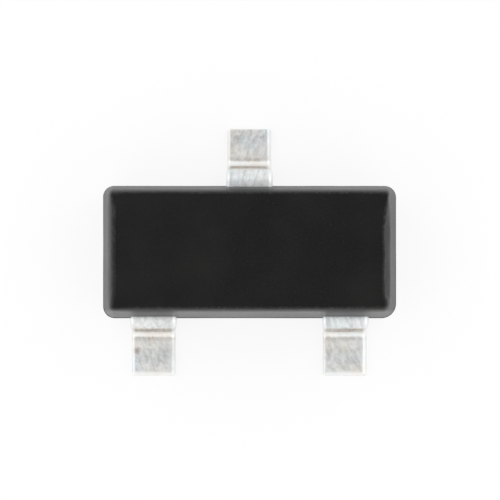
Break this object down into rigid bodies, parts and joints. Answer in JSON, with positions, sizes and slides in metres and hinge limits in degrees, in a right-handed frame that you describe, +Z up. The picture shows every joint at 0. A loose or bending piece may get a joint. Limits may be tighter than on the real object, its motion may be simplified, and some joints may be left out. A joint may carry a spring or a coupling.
{
  "type": "surface-mount transistor",
  "caption": "Small black moulded transistor package with bent flat leads, a single one on one long side and a pair on the other, for soldering to a circuit board.",
  "frame": {"origin": "middle of the part on the board, level with the undersides of the three feet", "axes": "+X along the body, +Y towards the single lead, +Z up from the board"},
  "size_m": [0.0028, 0.0024, 0.001],
  "materials": {
    "black_epoxy": "fine matte moulded epoxy, near black",
    "tinned_copper": "matte tin plating, mottled light grey",
    "silicon": "polished grey silicon",
    "silver_adhesive": "dull silver-filled adhesive",
    "gold_wire": "drawn gold wire"
  },
  "bodies": {
    "root": {"epoxy_body": "black_epoxy", "collector_lead": "tinned_copper", "base_lead": "tinned_copper", "emitter_lead": "tinned_copper", "silicon_die": "silicon", "die_attach": "silver_adhesive", "base_bond_wire": "gold_wire", "emitter_bond_wire": "gold_wire"}
  },
  "joints": []
}
